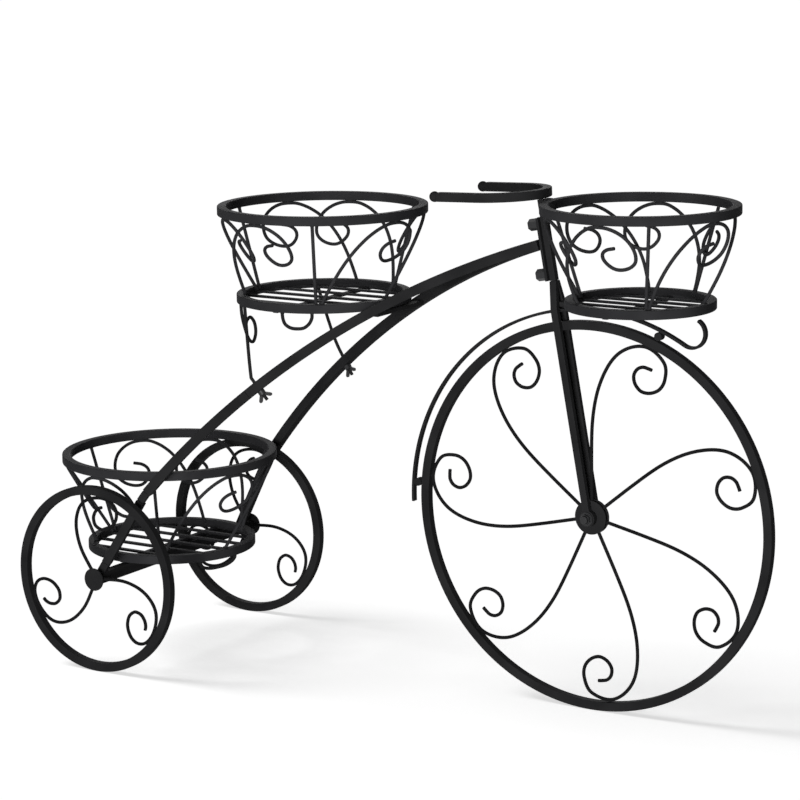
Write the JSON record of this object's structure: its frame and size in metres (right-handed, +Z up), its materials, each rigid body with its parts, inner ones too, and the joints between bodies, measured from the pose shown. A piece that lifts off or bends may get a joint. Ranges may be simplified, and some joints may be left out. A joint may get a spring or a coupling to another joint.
{
  "type": "bicycle planter",
  "caption": "Bicycle-shaped planter stand of black metal: a large scrolled front wheel, small rear wheels, arched frame and round wire baskets for pots.",
  "frame": {"origin": "on the floor, under the middle of the overall box", "axes": "+Z up, +X forward towards the front wheel, +Y to the stand's left"},
  "size_m": [0.8672, 0.2998, 0.5422],
  "materials": {
    "black_powder_coat": "satin black powder coat on mild steel",
    "black_hardware": "satin black painted steel fasteners"
  },
  "bodies": {
    "frame": {"arch_lower_left": "black_powder_coat", "arch_lower_right": "black_powder_coat", "arch_upper_left": "black_powder_coat", "arch_upper_right": "black_powder_coat", "axle_beam": "black_powder_coat", "axle_bolt": "black_hardware", "axle_nut": "black_hardware", "basket_leg_left": "black_powder_coat", "basket_leg_right": "black_powder_coat", "cross_brace": "black_powder_coat", "fender_spacer_1": "black_powder_coat", "fender_spacer_2": "black_powder_coat", "fender_strip": "black_powder_coat", "fork_bridge": "black_powder_coat", "fork_leg_left": "black_powder_coat", "fork_leg_right": "black_powder_coat", "front_basket_cage": "black_powder_coat", "front_basket_tab": "black_powder_coat", "front_basket_top_ring": "black_powder_coat", "handle_knob_left": "black_powder_coat", "handle_knob_right": "black_powder_coat", "handlebar": "black_powder_coat", "head_bar": "black_powder_coat", "head_bolt_lower": "black_hardware", "head_bolt_upper": "black_hardware", "head_plate": "black_powder_coat", "knee_joint_left": "black_powder_coat", "knee_joint_right": "black_powder_coat", "middle_basket_cage": "black_powder_coat", "middle_basket_loop": "black_powder_coat", "middle_basket_scroll": "black_powder_coat", "middle_basket_top_ring": "black_powder_coat", "rear_arm_left": "black_powder_coat", "rear_arm_right": "black_powder_coat", "rear_basket_cage": "black_powder_coat", "rear_basket_loop": "black_powder_coat", "rear_basket_top_ring": "black_powder_coat"},
    "front_wheel": {"front_hub": "black_powder_coat", "front_rim": "black_powder_coat", "front_spoke_1": "black_powder_coat", "front_spoke_2": "black_powder_coat", "front_spoke_3": "black_powder_coat", "front_spoke_4": "black_powder_coat", "front_spoke_5": "black_powder_coat", "front_spoke_6": "black_powder_coat", "front_spoke_7": "black_powder_coat"},
    "rear_wheel_left": {"rear_hub_left": "black_powder_coat", "rear_rim_left": "black_powder_coat", "rear_spoke_left_1": "black_powder_coat", "rear_spoke_left_2": "black_powder_coat", "rear_spoke_left_3": "black_powder_coat"},
    "rear_wheel_right": {"rear_hub_right": "black_powder_coat", "rear_rim_right": "black_powder_coat", "rear_spoke_right_1": "black_powder_coat", "rear_spoke_right_2": "black_powder_coat", "rear_spoke_right_3": "black_powder_coat"},
    "wing_nut_left": {"wing_nut_left": "black_hardware"},
    "wing_nut_right": {"wing_nut_right": "black_hardware"}
  },
  "joints": [
    {"name": "front_wheel_spin", "type": "hinge", "parent": "frame", "child": "front_wheel", "pos_m": [0.22865, 0, 0.205], "axis": [0, 1, 0], "continuous": true},
    {"name": "rear_wheel_left_spin", "type": "hinge", "parent": "frame", "child": "rear_wheel_left", "pos_m": [-0.30885, 0.1439, 0.1035], "axis": [0, 1, 0], "continuous": true},
    {"name": "rear_wheel_right_spin", "type": "hinge", "parent": "frame", "child": "rear_wheel_right", "pos_m": [-0.30885, -0.1439, 0.1035], "axis": [0, 1, 0], "continuous": true},
    {"name": "wing_nut_left_turn", "type": "hinge", "parent": "frame", "child": "wing_nut_left", "pos_m": [-0.1296, 0.08499, 0.32359], "axis": [0.5957, -0.1561, -0.7879], "continuous": true},
    {"name": "wing_nut_right_turn", "type": "hinge", "parent": "frame", "child": "wing_nut_right", "pos_m": [-0.1296, -0.08499, 0.32359], "axis": [0.5957, 0.1561, -0.7879], "continuous": true}
  ]
}
